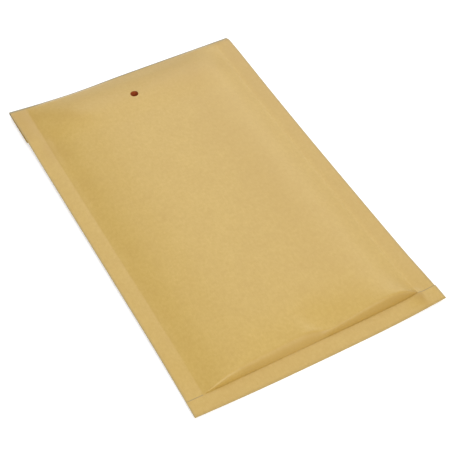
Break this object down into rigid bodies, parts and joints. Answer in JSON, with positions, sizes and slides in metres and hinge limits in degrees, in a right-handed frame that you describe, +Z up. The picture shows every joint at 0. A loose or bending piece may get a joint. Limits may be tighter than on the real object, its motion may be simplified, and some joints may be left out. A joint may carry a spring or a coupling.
{
  "type": "padded envelope",
  "caption": "Kraft paper padded envelope with a bubble film lining, flat glued seams, a folded bottom lip, a punched clip hole and a flap folded underneath.",
  "frame": {"origin": "centre of the envelope's bounding box, on the surface that it lies on", "axes": "+X across the width, to the right as the front is read with the flap end at the top; +Y along the length, from the bottom lip towards the folded flap; +Z up, out of the front ply"},
  "size_m": [0.14, 0.2258, 0.0075],
  "materials": {
    "kraft_paper": "brown kraft paper with a smooth machine finish and a low sheen, finely mottled",
    "bubble_film": "clear polyethylene bubble film",
    "adhesive": "clear hot melt adhesive",
    "liner_paper": "white silicone coated release paper"
  },
  "bodies": {
    "root": {"kraft_cover": "kraft_paper", "bubble_lining": "bubble_film", "adhesive_strip": "adhesive", "release_liner": "liner_paper"}
  },
  "joints": []
}
